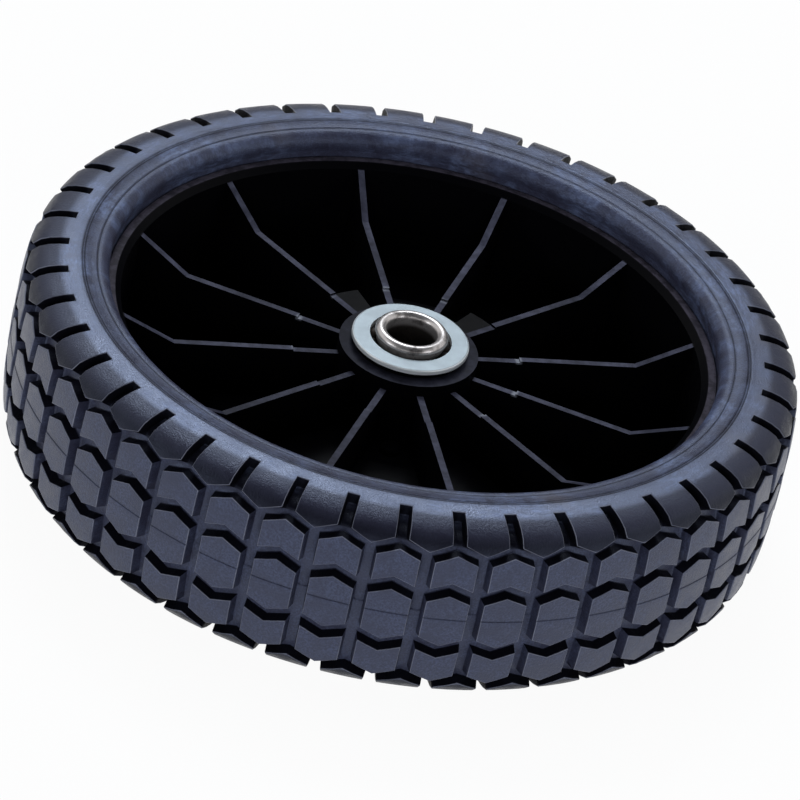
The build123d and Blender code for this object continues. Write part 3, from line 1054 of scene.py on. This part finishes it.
def hang(scene, settings, name, data, angle, elevation, distance):
    """Hangs a lamp or a card at an angle round the axle from the camera, facing the wheel."""
    turn = settings.azimuth + math.radians(angle)
    rise = math.radians(elevation)
    away = Vector((math.cos(turn) * math.cos(rise), math.sin(turn) * math.cos(rise), math.sin(rise)))
    holder = bpy.data.objects.new(name, data)
    scene.collection.objects.link(holder)
    holder.location = away * distance
    holder.rotation_euler = away.to_track_quat("Z", "Y").to_euler()
    return holder


def dark_cards(scene, settings):
    """Dark studio cards that the camera itself doesn't see."""
    material = bpy.data.materials.new("dark_card")
    material.use_nodes = True
    shader = material.node_tree.nodes["Principled BSDF"]
    shader.inputs["Base Color"].default_value = (*CARD_COLOUR, 1.0)
    shader.inputs["Roughness"].default_value = 1.0
    for name, angle, elevation, distance, width, height in CARDS:
        mesh = flat_sheet(name, width, height, 0.0)
        mesh.materials.append(material)
        card = hang(scene, settings, name, mesh, angle, elevation, distance)
        card.visible_camera = False


def seen_directly(tree):
    """1 for what the camera sees, straight or in a shiny or clear surface."""
    path = tree.nodes.new("ShaderNodeLightPath")
    seen = path.outputs["Is Camera Ray"]
    for kind in ("Is Glossy Ray", "Is Transmission Ray"):
        either = tree.nodes.new("ShaderNodeMath")
        either.operation = "MAXIMUM"
        tree.links.new(seen, either.inputs[0])
        tree.links.new(path.outputs[kind], either.inputs[1])
        seen = either.outputs[0]
    return seen


def end_in_mix(tree, share, first, second, output):
    """Ends a tree of nodes in a mix of two shaders."""
    mix = tree.nodes.new("ShaderNodeMixShader")
    tree.links.new(share, mix.inputs[0])
    tree.links.new(first.outputs[0], mix.inputs[1])
    tree.links.new(second.outputs[0], mix.inputs[2])
    end = tree.nodes.new(output)
    tree.links.new(mix.outputs[0], end.inputs[0])


def pale_floor(scene, settings):
    """A wide floor under the wheel, which glows for the camera and takes a faint shadow."""
    mesh = flat_sheet("floor", FLOOR_SIDE, FLOOR_SIDE, CAD_BOX[0].z)
    floor = bpy.data.objects.new("floor", mesh)
    scene.collection.objects.link(floor)
    material = bpy.data.materials.new("pale_floor")
    material.use_nodes = True
    tree = material.node_tree
    tree.nodes.clear()
    diffuse = tree.nodes.new("ShaderNodeBsdfDiffuse")
    diffuse.inputs["Color"].default_value = (*settings.floor, 1.0)
    glow = tree.nodes.new("ShaderNodeEmission")
    share = tree.nodes.new("ShaderNodeMath")
    share.operation = "MULTIPLY"
    share.inputs[1].default_value = FLOOR_GLOW
    tree.links.new(seen_directly(tree), share.inputs[0])
    end_in_mix(tree, share.outputs[0], diffuse, glow, "ShaderNodeOutputMaterial")
    mesh.materials.append(material)


def studio_world(scene):
    """White for what the camera sees, and a faint cool sky for all other light."""
    world = bpy.data.worlds.new("studio")
    scene.world = world
    world.use_nodes = True
    tree = world.node_tree
    tree.nodes.clear()
    sky = tree.nodes.new("ShaderNodeBackground")
    sky.inputs["Color"].default_value = (*SKY_COLOUR, 1.0)
    sky.inputs["Strength"].default_value = SKY_STRENGTH
    white = tree.nodes.new("ShaderNodeBackground")
    white.inputs["Color"].default_value = (1, 1, 1, 1)
    end_in_mix(tree, seen_directly(tree), sky, white, "ShaderNodeOutputWorld")


def studio_lamps(scene, settings):
    """Square lamps round the wheel."""
    for name, angle, elevation, distance, side, power, colour, mirrored in LAMPS:
        lamp = bpy.data.lights.new(name, "AREA")
        lamp.size = side
        lamp.energy = power
        lamp.color = colour
        holder = hang(scene, settings, name, lamp, angle, elevation, distance)
        holder.visible_glossy = mirrored


class WHEEL_OT_stage(bpy.types.Operator):
    """Set up the floor, the light and the camera"""

    bl_idname = "wheel.stage"
    bl_label = "Stage"

    def execute(self, context):
        scene = context.scene
        settings = scene.wheel_stage
        set_camera(scene, settings)
        dark_cards(scene, settings)
        scene.view_settings.view_transform = "Standard"
        pale_floor(scene, settings)
        studio_world(scene)
        studio_lamps(scene, settings)
        return {"FINISHED"}


class WHEEL_PT_panel(bpy.types.Panel):
    """Mower wheel in the sidebar"""

    bl_idname = "WHEEL_PT_panel"
    bl_label = "Mower Wheel"
    bl_space_type = "VIEW_3D"
    bl_region_type = "UI"
    bl_category = "Mower Wheel"

    def draw(self, context):
        for operator in OPERATORS:
            self.layout.operator(operator.bl_idname)
        for name, group in SETTINGS.items():
            box = self.layout.box()
            for label in group.__annotations__:
                box.prop(getattr(context.scene, name), label)


OPERATORS = (WHEEL_OT_stage, WHEEL_OT_tyre, WHEEL_OT_rim, WHEEL_OT_bearings)
SETTINGS = {
    "wheel_tyre": WheelTyreSettings,
    "wheel_rim": WheelRimSettings,
    "wheel_bearings": WheelBearingSettings,
    "wheel_stage": WheelStageSettings,
}


def register():
    for name, group in SETTINGS.items():
        bpy.utils.register_class(group)
        setattr(bpy.types.Scene, name, bpy.props.PointerProperty(type=group))
    for cls in (*OPERATORS, WHEEL_PT_panel):
        bpy.utils.register_class(cls)


def unregister():
    for cls in reversed((*OPERATORS, WHEEL_PT_panel)):
        bpy.utils.unregister_class(cls)
    for name, group in reversed(SETTINGS.items()):
        delattr(bpy.types.Scene, name)
        bpy.utils.unregister_class(group)


def main():
    register()
    bpy.ops.wheel.stage()
    bpy.ops.wheel.tyre()
    bpy.ops.wheel.rim()
    bpy.ops.wheel.bearings()


if __name__ == "__main__":
    main()
